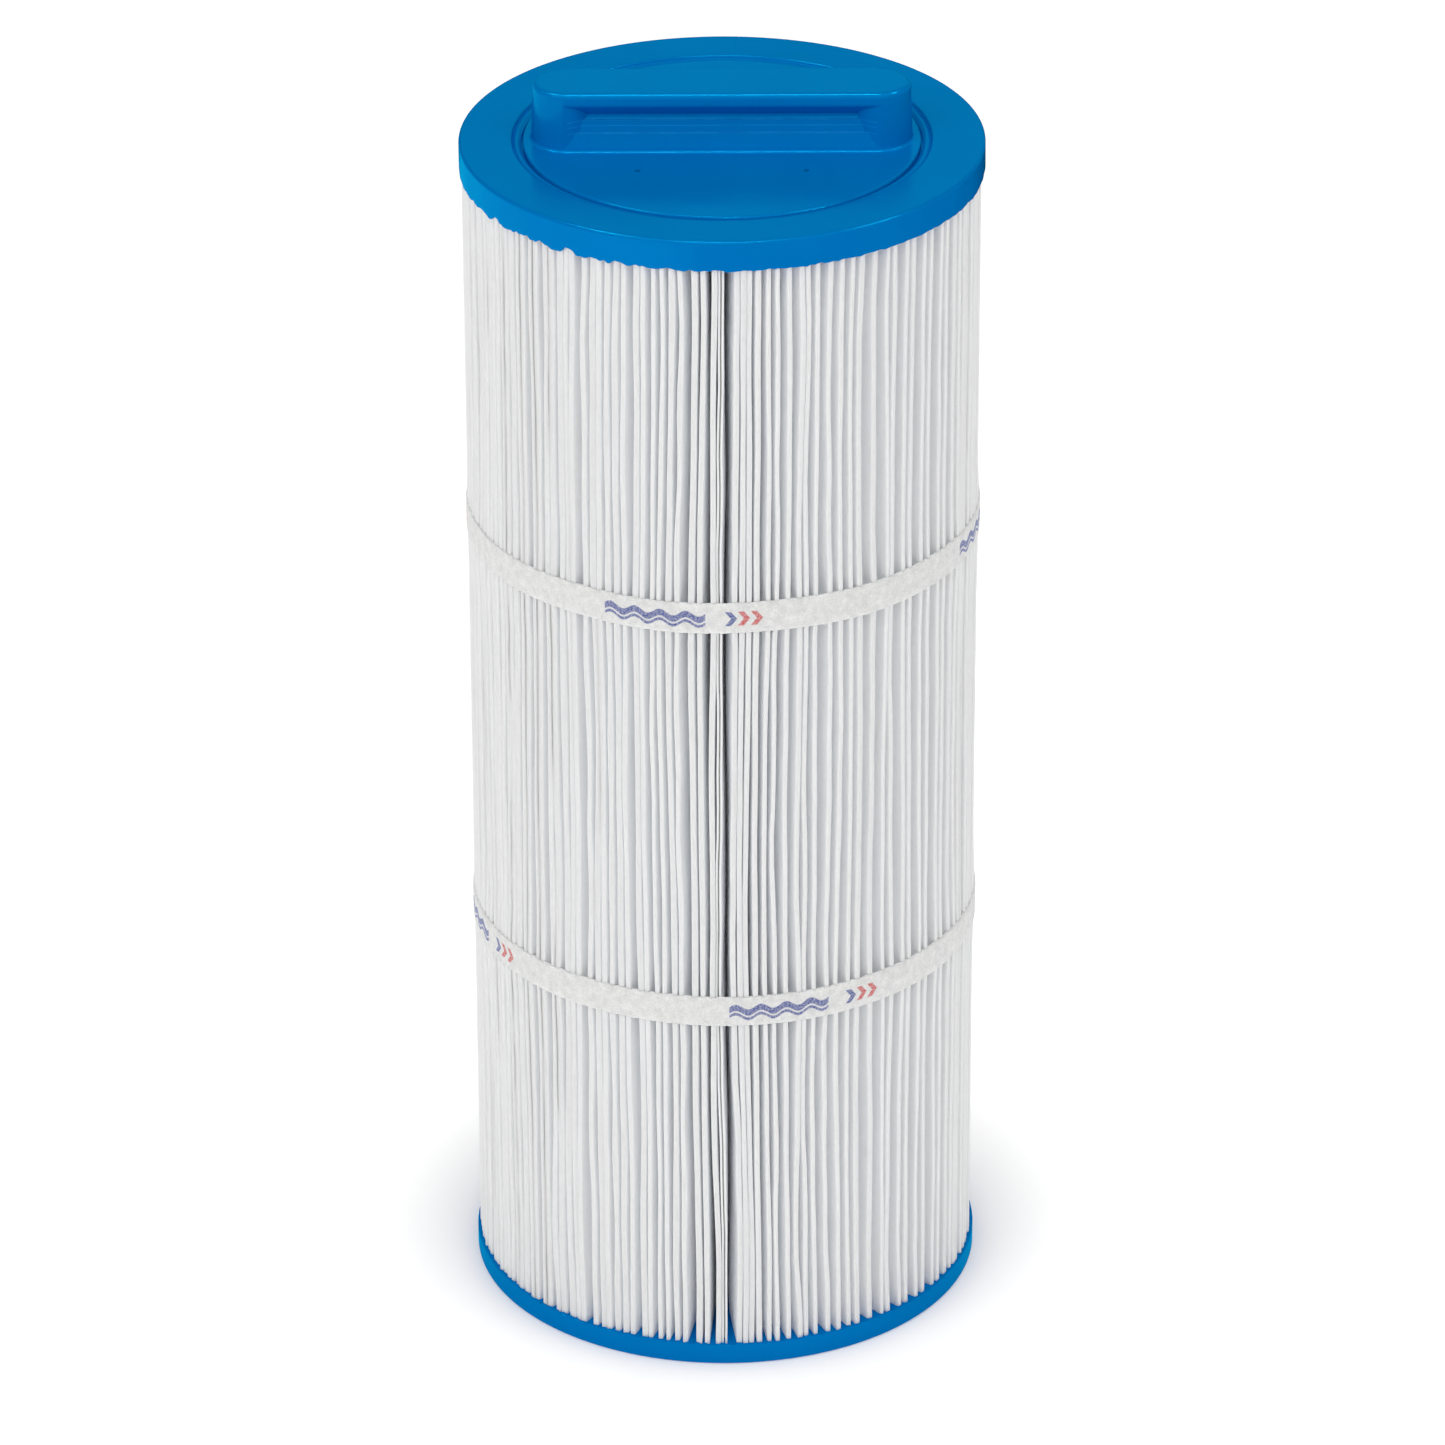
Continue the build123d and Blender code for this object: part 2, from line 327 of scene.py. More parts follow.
def printed_marks(tree, place):
    """Shares of blue and red ink: a double wave, then three arrowheads, repeated along the tape."""
    parts = split_axes(tree, place)
    up = parts["Y"]
    along = calculate(tree, "FLOORED_MODULO", parts["X"], PRINT_PERIOD)
    swing = calculate(tree, "SINE", calculate(tree, "MULTIPLY", along, TURN / WAVE_PITCH))
    swing = calculate(tree, "MULTIPLY", swing, WAVE_SWING)
    offset = calculate(tree, "SUBTRACT", up, swing)
    thick = between(tree, offset, *THICK_WAVE, PRINT_EDGE)
    thin = between(tree, offset, *THIN_WAVE, PRINT_EDGE)
    waves = calculate(tree, "MAXIMUM", thick, thin)
    waves = calculate(tree, "MULTIPLY", waves, between(tree, along, 0.0, WAVE_LENGTH, PRINT_EDGE))
    lean = calculate(tree, "MULTIPLY", calculate(tree, "ABSOLUTE", up), ARROW_LEAN)
    step = calculate(tree, "ADD", calculate(tree, "SUBTRACT", along, ARROWS_START), lean)
    heads = calculate(tree, "FLOORED_MODULO", step, ARROW_PITCH)
    arrows = between(tree, heads, *ARROW_STROKE, PRINT_EDGE)
    tall = between(tree, up, -ARROW_HALF_HEIGHT, ARROW_HALF_HEIGHT, PRINT_EDGE)
    arrows = calculate(tree, "MULTIPLY", arrows, tall)
    span = between(tree, step, 0.2 * MM, ARROWS_END - ARROWS_START, PRINT_EDGE)
    arrows = calculate(tree, "MULTIPLY", arrows, span)
    first = calculate(tree, "LESS_THAN", step, ARROW_PITCH)
    blue = calculate(tree, "ADD", waves, calculate(tree, "MULTIPLY", arrows, first), clamp=True)
    red = calculate(tree, "MULTIPLY", arrows, calculate(tree, "SUBTRACT", 1.0, first))
    return blue, red


def tape(name):
    """Thin off-white non-woven tape, with ink that the strands break up."""
    material, tree, shader = new_material(name)
    place = add_node(tree, "ShaderNodeUVMap", uv_map="tape").outputs[0]
    clumps, strands = fibres(tree, place)
    tone = calculate(tree, "ADD", strands, calculate(tree, "MULTIPLY", clumps, 0.5))
    plain = mix_colours(tree, spread(tree, tone, 0.55, 0.95), TAPE_DARK, TAPE_LIGHT)
    blue, red = printed_marks(tree, place)
    hold = spread(tree, noise(tree, place, 1900, 3, 0.7), 0.35, 0.58, 0.5, 1.0)
    inked = mix_colours(tree, calculate(tree, "MULTIPLY", blue, hold), plain, INK_BLUE)
    inked = mix_colours(tree, calculate(tree, "MULTIPLY", red, hold), inked, INK_RED)
    tree.links.new(inked, shader.inputs["Base Color"])
    shader.inputs["Roughness"].default_value = 0.8
    shader.inputs["Specular IOR Level"].default_value = 0.2
    shader.inputs["Subsurface Weight"].default_value = 1.0
    shader.inputs["Subsurface Radius"].default_value = (1.0, 1.0, 0.95)
    shader.inputs["Subsurface Scale"].default_value = 0.0008
    coarse = bump(tree, clumps, 0.0001, 0.7)
    tree.links.new(bump(tree, strands, 0.00007, 0.8, coarse), shader.inputs["Normal"])
    return material


def dull_plastic(name, light, dark, roughness, scale):
    """Plain matt plastic or set adhesive, a little uneven in tone and gloss."""
    material, tree, shader = new_material(name)
    place = object_place(tree)
    tone = spread(tree, noise(tree, place, scale, 4, 0.6), 0.3, 0.7)
    tree.links.new(mix_colours(tree, tone, dark, light), shader.inputs["Base Color"])
    gloss = spread(tree, noise(tree, place, scale * 3), 0.3, 0.7, roughness - 0.08, roughness + 0.08)
    tree.links.new(gloss, shader.inputs["Roughness"])
    tree.links.new(bump(tree, noise(tree, place, scale * 8, 3), 0.00004, 0.5), shader.inputs["Normal"])
    return material


urethane = blue_plastic("cast_urethane", URETHANE_LIGHT, URETHANE_DARK, 0.2)
moulding = blue_plastic("moulded_handle", MOULDING_LIGHT, MOULDING_DARK, 0.16, handle=True)
white_fabric = fabric("filter_fabric")
printed_tape = tape("band_tape")
bond = dull_plastic("seam_adhesive", BOND_LIGHT, BOND_DARK, 0.5, 300)
core_plastic = dull_plastic("core_plastic", CORE_LIGHT, CORE_DARK, 0.5, 60)

# ---------------------------------------------------------------- mesh helpers


def make_piece(name, points, faces, material, slot, *nodes):
    """A smooth-shaded piece that rides on the cartridge and stands for the named CAD nodes."""
    mesh = bpy.data.meshes.new(name)
    mesh.from_pydata(points.tolist(), [], faces.tolist() if hasattr(faces, "tolist") else faces)
    mesh.materials.append(material)
    mesh.shade_smooth()
    piece = bpy.data.objects.new(name, mesh)
    bpy.context.collection.objects.link(piece)
    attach(piece, "root")
    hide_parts(*nodes)
    return piece


def weigh_normals(piece, sharp_degrees):
    """Shades the large faces flat up to their edges, and keeps corners sharper than that angle."""
    piece.data.set_sharp_from_angle(angle=math.radians(sharp_degrees))
    weighted = piece.modifiers.new("weighted_normals", "WEIGHTED_NORMAL")
    weighted.keep_sharp = True


def ring_faces(turns, around):
    """Quads of a closed ring: turns stations round the axis, each a closed loop of around points."""
    station, point = np.meshgrid(np.arange(turns), np.arange(around), indexing="ij")
    here = station * around
    there = (station + 1) % turns * around
    after = (point + 1) % around
    quads = np.stack([here + point, here + after, there + after, there + point], axis=-1)
    return quads.reshape(-1, 4)


def arc(centre, radius, start, end, count):
    """Points of an arc in (radius, height), angles in degrees."""
    angles = np.radians(np.linspace(start, end, count))
    return [(centre[0] + radius * math.cos(a), centre[1] + radius * math.sin(a)) for a in angles]


# ---------------------------------------------------------------- pleated sheet

PLEATS = 150
SHEET = 0.5 * MM
CROWDED_PITCH = 2.1  # degrees from pleat to pleat over the front and left
OPEN_PITCH = 3.1  # over the front right
BACK_PITCH = 2.43
CROWDED = (-72.0, 24.0)  # degrees from the front, positive to the right
OPEN_TO = 62.0
PITCH_BLEND = 4.0
SEAM_PLACE = -0.3  # degrees from the front
TIP_JITTER = 0.2  # of a pitch
LEAST_PITCH = 1.24  # degrees, where two pleats touch
SEAM_PARTING = {1: 0.62, 2: 0.3, -1: 0.34, -2: 0.12}  # how far pleats by the seam move, in pitches
ROWS = 36
END_HOLD = 26 * MM  # the caps hold the pleats straight this far
TIP_SHAPE = ((-1, 0), (-0.8, 0.75), (0, 1), (0.8, 0.75), (1, 0))  # across and up a fold
TIP_RISE = 0.5
FOLD_HALF = (0.28, 0.56)  # millimetres, half the width of an outer fold
FOLD_HALF_WAVER = 0.12  # of that width
FOLD_HALF_LIMITS = (0.24 * MM, 0.85 * MM)
ROOT_HALF = 0.29 * MM
ROOT_GAP = 0.25 * MM  # between the inner folds and the core
ROOT_NARROWING = 0.55
LEG_POINTS = 4  # of a pleat's two legs and its inner fold
MID_RADIUS = 51 * MM  # the legs bend a little here
LEG_BOW = 0.16 * MM
RAW_EDGE_INSET = 0.3 * MM
RAW_EDGE_APART = 0.45 * MM  # each raw edge, from the seam's middle
SWAY = 0.2  # degrees that a fold leans by itself over a long stretch
WAVER = 0.07  # and over a short one
SLACK = (0.02, 0.4)  # millimetres that a fold falls short of the outside
SLACK_WAVER = 0.1
BAND_PRESS = 14 * MM  # the bands press on the folds this far above and below
DRIFT_BOW = (-0.75, 70)  # degrees that pleats lean at mid height, and how far round that reaches
DRIFT_WAVES = (  # degrees of lean, waves round the cartridge, height of one radian, start
    (0.28, 5, 45 * MM, 1.0),
    (0.18, 13, -28 * MM, 2.0),
)
# Where folds crowd together: the side (left is -1), then in degrees from the front its start, how
# long it takes to build up and its end, and last how much fatter the folds get
CROWDING = (
    (-1, 20, 22, 100, 0.7),
    (1, 38, 22, 110, 0.45),
)
CROWDING_FALL = 20  # degrees over which it fades before its end
SETTLE_ROUNDS = 60


def local_pitch(degrees):
    """Degrees from one pleat to the next, at that angle from the front."""
    def step(edge):
        return 1 / (1 + np.exp(-(degrees - edge) / PITCH_BLEND))
    crowded = step(CROWDED[0]) * (1 - step(CROWDED[1]))
    opened = step(CROWDED[1]) * (1 - step(OPEN_TO))
    return BACK_PITCH + (CROWDED_PITCH - BACK_PITCH) * crowded + (OPEN_PITCH - BACK_PITCH) * opened


def angle_of_pleat():
    """A function from pleat number, fractions allowed, to degrees from the front."""
    around = np.linspace(SEAM_PLACE, SEAM_PLACE + 360, 3601)
    wrapped = (around + 180) % 360 - 180
    density = 1 / local_pitch(wrapped)
    number = np.concatenate([[0], np.cumsum((density[1:] + density[:-1]) / 2)])
    number *= PLEATS / number[-1]
    return lambda pleat: np.interp(pleat, number, around)


def ripple(rng, shape, heights, shortest, longest):
    """A smooth random curve over the heights for each item, about one unit high."""
    total = np.zeros(shape + (len(heights),))
    for _ in range(3):
        length = rng.uniform(shortest, longest, shape)[..., None]
        phase = rng.uniform(0, TURN, shape)[..., None]
        total += rng.normal(0, 0.6, shape)[..., None] * np.sin(TURN * heights / length + phase)
    return total


def shared_drift(angles, heights):
    """How far neighbouring pleats lean over together, in degrees."""
    angles = angles[:, None]
    lean, reach = DRIFT_BOW
    near_seam = np.exp(-((angles - SEAM_PLACE) / reach) ** 2)
    drift = lean * near_seam * np.sin(math.pi * heights / media_top)
    for size, waves, rise, start in DRIFT_WAVES:
        drift = drift + size * np.sin(np.radians(angles) * waves + heights / rise + start)
    return drift


def part_pleats(angles):
    """Moves pleats apart where two would overlap, row by row; the seam pleat comes first and last."""
    for _ in range(SETTLE_ROUNDS):
        gaps = np.diff(angles, axis=0)
        short = np.clip(LEAST_PITCH - gaps, 0, None) / 2
        angles[1:] += short
        angles[:-1] -= short
        angles[-1] = angles[0] + 360
    return angles


def away_from_bands(heights):
    """0 under the bands, which press the folds to one radius, rising to 1 beyond them."""
    gaps = [abs(heights - (low.z + high.z) / 2) - (high.z - low.z) / 2 for low, high in bands.values()]
    return np.clip(np.min(gaps, 0) / BAND_PRESS, 0, 1)


def fold_places(rng, heights):
    """Each outer fold's angle and reach at every height, and each inner fold's one angle, in radians."""
    place = angle_of_pleat()
    number = np.arange(PLEATS + 1, dtype=float)
    base = number.copy()
    base[1:-1] += np.clip(rng.normal(0, TIP_JITTER, PLEATS - 1), -0.42, 0.42)
    for pleat, shift in SEAM_PARTING.items():
        base[pleat % PLEATS] = pleat % PLEATS + shift
    angles = place(base)
    hold = np.clip(np.minimum(heights - media_bottom, media_top - heights) / END_HOLD, 0, 1)
    hold = hold * hold * (3 - 2 * hold)
    own = SWAY * ripple(rng, (PLEATS + 1,), heights, 60 * MM, 260 * MM)
    own += WAVER * ripple(rng, (PLEATS + 1,), heights, 24 * MM, 60 * MM)
    own[-1] = own[0]
    wrapped = (angles + 180) % 360 - 180
    angles = angles[:, None] + hold * (own + shared_drift(wrapped, heights))
    angles[-1] = angles[0] + 360
    angles = part_pleats(angles)
    slack = rng.uniform(*SLACK, PLEATS + 1)[:, None]
    slack = slack + SLACK_WAVER * np.abs(ripple(rng, (PLEATS + 1,), heights, 30 * MM, 90 * MM)) * hold
    reach = media_radius - (0.03 + slack * away_from_bands(heights)) * MM
    roots = place(number[:-1] + 0.5)
    return np.radians(angles) + FRONT, reach, np.radians(roots) + FRONT


def crowding(angles):
    """How much fatter the folds are where they crowd together, on the left and far right."""
    from_front = (np.degrees(angles - FRONT) + 180) % 360 - 180
    size = 1.0
    for side, start, rise, end, fatter in CROWDING:
        away = side * from_front
        begun = np.clip((away - start) / rise, 0, 1)
        size = size + fatter * begun * np.clip((end - away) / CROWDING_FALL, 0, 1)
    return size


def polar(radius, angle, side=0.0):
    """Points at that radius and angle, moved sideways, anticlockwise, by side."""
    radius, angle, side = np.broadcast_arrays(radius, angle, side)
    along = np.stack([np.cos(angle), np.sin(angle)], -1)
    across = np.stack([-np.sin(angle), np.cos(angle)], -1)
    return along * radius[..., None] + across * side[..., None]


def sheet_line(rng, heights):
    """The middle of the sheet's thickness at every height, raw edge to raw edge: (rows, points, 2)."""
    tips, reach, roots = fold_places(rng, heights)
    rows = len(heights)
    half = rng.uniform(*FOLD_HALF, PLEATS + 1)[:, None] * MM
    half = half * crowding(tips)
    half = half * (1 + FOLD_HALF_WAVER * ripple(rng, (PLEATS + 1,), heights, 40 * MM, 120 * MM))
    half = np.clip(half, *FOLD_HALF_LIMITS)
    bow = LEG_BOW * ripple(rng, (PLEATS,), heights, 70 * MM, 200 * MM)
    root_radius = core_radius + ROOT_GAP + ROOT_HALF + SHEET / 2
    share = (MID_RADIUS - root_radius) / (media_radius - root_radius)
    line = [polar(reach[0] - RAW_EDGE_INSET, tips[0], RAW_EDGE_APART)]
    for pleat in range(PLEATS):
        root = np.full(rows, roots[pleat])
        left, right = tips[pleat], tips[pleat + 1]
        near, far = half[pleat], half[pleat + 1]
        inward = near * share - ROOT_HALF * (1 - share) + bow[pleat]
        outward = ROOT_HALF * (1 - share) - far * share + bow[pleat]
        line.append(polar(MID_RADIUS, root + (left - root) * share, inward))
        line.append(polar(root_radius - ROOT_HALF, root, -ROOT_HALF * ROOT_NARROWING))
        line.append(polar(root_radius - ROOT_HALF, root, ROOT_HALF * ROOT_NARROWING))
        line.append(polar(MID_RADIUS, root + (right - root) * share, outward))
        if pleat < PLEATS - 1:
            shoulder = reach[pleat + 1] - SHEET / 2 - TIP_RISE * far
            for side, rise in TIP_SHAPE:
                line.append(polar(shoulder + rise * TIP_RISE * far, right, side * far))
    line.append(polar(reach[-1] - RAW_EDGE_INSET, tips[-1], -RAW_EDGE_APART))
    return np.stack(line, 1)


def thicken(line, thickness):
    """The two faces of a sheet whose middle is that line: outer side first."""
    step = np.diff(line, axis=1)
    step /= np.linalg.norm(step, axis=2, keepdims=True)
    normal = np.stack([step[..., 1], -step[..., 0]], -1)
    before = np.concatenate([normal[:, :1], normal], 1)
    after = np.concatenate([normal, normal[:, -1:]], 1)
    both = before + after
    miter = both / np.maximum(1 + (before * after).sum(-1, keepdims=True), 0.5)
    return line + miter * thickness / 2, line - miter * thickness / 2


def make_pleats():
    rng = np.random.default_rng(7)
    heights = np.linspace(media_bottom, media_top, ROWS)
    line = sheet_line(rng, heights)
    outside, inside = thicken(line, SHEET)
    loop = np.concatenate([outside, inside[:, ::-1]], 1)
    rows, around = loop.shape[:2]
    points = np.concatenate([loop, np.repeat(heights, around).reshape(rows, around, 1)], 2)
    walls = []
    for row in range(rows - 1):
        here = row * around + np.arange(around)
        nextward = row * around + (np.arange(around) + 1) % around
        walls.append(np.stack([here, nextward, nextward + around, here + around], 1))
    half = around // 2
    first = np.arange(half - 1)
    mirror = around - 1 - first
    bottom = np.stack([first, mirror, mirror - 1, first + 1], 1)
    top = bottom[:, ::-1] + (rows - 1) * around
    faces = np.concatenate(walls + [bottom, top])
    piece = make_piece(
        "pleats", points.reshape(-1, 3), faces, white_fabric, "filter_fabric", "pleated_media"
    )
    run = np.concatenate([[0], np.cumsum(np.linalg.norm(np.diff(line[0], axis=0), axis=1))])
    along = np.concatenate([run, run[::-1]])
    places = np.stack([np.tile(along, rows), np.repeat(heights, around)], 1)
    set_uv(piece, "cloth", places)
    weigh_normals(piece, 60)
    return line[:, 0], line[:, -1], heights, fold_summary(line)


def fold_summary(line):
    """The angles of the outer folds at the sheet's bottom and top edges, for the caps' scallops."""
    first = 1 + LEG_POINTS + len(TIP_SHAPE) // 2
    tip = first + np.arange(PLEATS - 1) * (LEG_POINTS + len(TIP_SHAPE))
    ends = line[[0, -1]][:, tip]
    return np.arctan2(ends[..., 1], ends[..., 0])


def set_uv(piece, name, places):
    layer = piece.data.uv_layers.new(name=name)
    corners = np.zeros(len(piece.data.loops), np.int32)
    piece.data.loops.foreach_get("vertex_index", corners)
    layer.data.foreach_set("uv", places[corners].astype(np.float32).ravel())


first_edge, last_edge, sheet_heights, fold_angles = make_pleats()

# ---------------------------------------------------------------- seam bond

SEAM_DEPTH = 26 * MM
SEAM_SHORT = 3 * MM  # it stops this far inside the raw edges
SEAM_HALF_OUTER = 0.24 * MM
SEAM_HALF_INNER = 0.12 * MM
SEAM_CROWN = 0.1 * MM


def make_seam_bond():
    """Set adhesive between the sheet's two end legs, just short of their raw edges."""
    middle = (first_edge + last_edge) / 2
    outward = middle / np.linalg.norm(middle, axis=1, keepdims=True)
    across = np.stack([-outward[:, 1], outward[:, 0]], 1)
    ridge = middle - outward * SEAM_SHORT
    root = middle - outward * SEAM_DEPTH
    loop = np.stack(
        [
            ridge - across * SEAM_HALF_OUTER,
            ridge + outward * SEAM_CROWN,
            ridge + across * SEAM_HALF_OUTER,
            root + across * SEAM_HALF_INNER,
            root - across * SEAM_HALF_INNER,
        ],
        1,
    )
    rows, around = loop.shape[:2]
    points = np.concatenate([loop, np.repeat(sheet_heights, around).reshape(rows, around, 1)], 2)
    faces = []
    for row in range(rows - 1):
        for k in range(around):
            here, after = row * around + k, row * around + (k + 1) % around
            faces.append((here, after, after + around, here + around))
    last = (rows - 1) * around
    faces.append(tuple(range(around))[::-1])
    faces.append(tuple(range(last, last + around)))
    piece = make_piece("seam_bond", points.reshape(-1, 3), faces, bond, "seam_adhesive", "seam_strip")
    weigh_normals(piece, 40)


make_seam_bond()

# ---------------------------------------------------------------- end caps

CAP_STEPS = 1080
EDGE_FILLET = 0.9 * MM
INNER_FILLET = 0.6 * MM
RING_INNER = 53.7 * MM
FLANGE_TOP = body_top - 2.1 * MM
FLANGE_BOTTOM = FLANGE_TOP - 1.5 * MM
# The groove round the disc, in millimetres in from the ring and down from its face
GROOVE = (
    (0.05, 0.75),
    (0.3, 0.95),
    (0.65, 0.7),
    (1.0, 0.5),
    (1.4, 0.6),
    (1.85, 0.9),
    (2.3, 1.2),
)
RAGGED_PLACE = -42  # degrees from the front, where the lower edge is most ragged
RAGGED_WIDTH = 30
# Millimetres that the lower edge swings, everywhere and more where it is ragged
HANG_AT_FOLDS = (0.14, 0.1)
HANG_SLOWLY = (0.1, 0.55)
HANG_QUICKLY = (0.06, 0.25)
HANG_DROP = 0.55
HANG_LIMITS = (-1.1, 1.6)
RING_FACE_MIDDLE = 60.5 * MM
GROOVE_WALL = RING_INNER - 2.35 * MM
CORE_GAP = 0.2 * MM  # between the core and the caps' rings
POTTING_INNER = 48 * MM  # radii of the hidden face between the folds
POTTING_OUTER = 62 * MM


def fold_nearness(angles, folds):
    """1 at an outer fold, falling to 0 half way to the next, at each of the angles."""
    folds = np.sort(folds % TURN)
    padded = np.concatenate([[folds[-1] - TURN], folds, [folds[0] + TURN]])
    spot = np.searchsorted(padded, angles % TURN)
    spot = np.clip(spot, 1, len(padded) - 1)
    low, high = padded[spot - 1], padded[spot]
    share = (angles % TURN - low) / np.maximum(high - low, 1e-6)
    return 0.5 + 0.5 * np.cos(TURN * share)


def wobble(rng, angles, first, last, terms):
    """A smooth random curve round the circle, about one unit high."""
    waves = rng.integers(first, last, terms)
    phases = rng.uniform(0, TURN, terms)
    sizes = rng.normal(0, 1, terms) / math.sqrt(terms)
    return sum(s * np.sin(w * angles + p) for w, s, p in zip(waves, sizes, phases))


def lathe(profiles):
    """Points of a ring whose (radius, height) loop may differ at each of CAP_STEPS angles."""
    angles = np.arange(CAP_STEPS) / CAP_STEPS * TURN
    radius, height = profiles[..., 0], profiles[..., 1]
    x = radius * np.cos(angles)[:, None]
    y = radius * np.sin(angles)[:, None]
    return np.stack([x, y, height], -1).reshape(-1, 3)


def make_top_cap():
    """The upper ring, whose lower edge hangs unevenly where the urethane ran between the folds."""
    rng = np.random.default_rng(11)
    angles = np.arange(CAP_STEPS) / CAP_STEPS * TURN
    near = fold_nearness(angles, fold_angles[1])
    from_front = (np.degrees(angles - FRONT) + 180) % 360 - 180
    ragged = np.exp(-((from_front - RAGGED_PLACE) / RAGGED_WIDTH) ** 2)
    slow = wobble(rng, angles, 24, 80, 12)
    quick = wobble(rng, angles, 90, 220, 16)
    hang = -HANG_DROP
    for wave, (least, more) in ((near, HANG_AT_FOLDS), (slow, HANG_SLOWLY), (quick, HANG_QUICKLY)):
        hang = hang + (least + more * ragged) * wave
    edge = top_cap_bottom + np.clip(hang, *HANG_LIMITS) * MM
    outer = arc((cap_radius - EDGE_FILLET, body_top - EDGE_FILLET), EDGE_FILLET, 0, 90, 6)
    inner = arc((RING_INNER + INNER_FILLET, body_top - INNER_FILLET), INNER_FILLET, 90, 180, 4)
    groove = [(RING_INNER - inward * MM, body_top - down * MM) for inward, down in GROOVE]
    fixed = outer + [(RING_FACE_MIDDLE, body_top)] + inner + groove + [
        (GROOVE_WALL, FLANGE_TOP),
        (plate_radius, FLANGE_TOP),
        (plate_radius, FLANGE_BOTTOM),
        (core_radius + CORE_GAP, FLANGE_BOTTOM),
        (core_radius + CORE_GAP, top_cap_bottom + 0.6 * MM),
        (POTTING_INNER, top_cap_bottom + 0.6 * MM),
        (POTTING_OUTER, top_cap_bottom + 0.5 * MM),
    ]
    profile = np.tile(np.array(fixed), (CAP_STEPS, 1, 1))
    lip = [
        (cap_radius - 1.2 * MM, 0.12 * MM),
        (cap_radius - 0.45 * MM, 0.0),
        (cap_radius - 0.12 * MM, 0.12 * MM),
        (cap_radius, 0.45 * MM),
        (cap_radius, 1.6 * MM),
    ]
    hem = np.stack([np.stack([np.full(CAP_STEPS, r), edge + z], 1) for r, z in lip], 1)
    swell = 0.06 * MM * wobble(rng, angles, 5, 60, 12)
    hem[:, 2:, 0] += np.clip(swell, -0.1 * MM, 0.05 * MM)[:, None]
    profiles = np.concatenate([profile, hem], 1)
    points = lathe(profiles)
    faces = ring_faces(CAP_STEPS, profiles.shape[1])[:, ::-1]
    piece = make_piece("top_cap", points, faces, urethane, "cast_urethane", "top_end_cap")
    weigh_normals(piece, 50)


def make_bottom_cap():
    """The lower ring, its upper edge scalloped where the urethane crept up the folds."""
    rng = np.random.default_rng(13)
    angles = np.arange(CAP_STEPS) / CAP_STEPS * TURN
    near = fold_nearness(angles, fold_angles[0])
    quick = wobble(rng, angles, 60, 200, 14)
    slow = wobble(rng, angles, 6, 30, 8)
    creep = (0.16 * near + 0.1 * quick + 0.12 * slow) * MM
    top = bottom_cap_top - 0.25 * MM
    bore_step = 1.0 * MM
    core_seat = 3.0 * MM
    core_inside = core_radius - 2 * MM
    fixed = [
        (POTTING_OUTER, top),
        (POTTING_INNER, top + 0.2 * MM),
        (core_radius + CORE_GAP, top + 0.3 * MM),
        (core_radius + CORE_GAP, core_seat),
        (core_inside, core_seat),
        (core_inside, bottom_cap_top),
        (bore_radius, bottom_cap_top),
        (bore_radius, bore_step),
        (bore_radius + bore_step, 0),
        (cap_radius - 12 * MM, 0),
    ] + arc((cap_radius - EDGE_FILLET, EDGE_FILLET), EDGE_FILLET, -90, 0, 6)
    profile = np.tile(np.array(fixed), (CAP_STEPS, 1, 1))
    rim = [
        (cap_radius, -1.2 * MM, 0.0),
        (cap_radius, -0.35 * MM, 0.8),
        (cap_radius - 0.1 * MM, -0.08 * MM, 1.0),
        (cap_radius - 0.35 * MM, 0.0, 1.0),
        (cap_radius - 1.0 * MM, -0.05 * MM, 1.0),
    ]
    hem = np.stack([np.stack([np.full(CAP_STEPS, r), top + z + k * creep], 1) for r, z, k in rim], 1)
    profiles = np.concatenate([profile, hem], 1)
    points = lathe(profiles)
    faces = ring_faces(CAP_STEPS, profiles.shape[1])[:, ::-1]
    piece = make_piece("bottom_cap", points, faces, urethane, "cast_urethane", "bottom_end_cap")
    weigh_normals(piece, 50)


make_top_cap()
make_bottom_cap()

# ---------------------------------------------------------------- bands

TAPE_THICKNESS = 0.4 * MM
TAPE_BITE = 0.15 * MM  # how far the folds press into it
TAPE_EDGE_DIP = 0.32 * MM  # it thins towards its edges
TAPE_OUTSIDE = (0.0, 0.05, 0.5, 0.95, 1.0)  # shares of the width, from the lower edge up
TAPE_INSIDE = (1.0, 0.5, 0.0)
TAPE_DRIFT = 0.16 * MM  # the tape wanders up and down this much
TAPE_FRAY = 0.09 * MM
TAPE_PUCKER = 0.03 * MM
LAP_GAP = 0.03 * MM
TAPE_SUNK = 0.4 * MM  # its inner face lies this much further in among the fold tips
TAPE_STEPS = 720
LAP = math.radians(24)
LAP_START = math.radians(104)
PRINT_STARTS = {"upper_band": -26.8, "lower_band": 1.0}  # degrees from the front


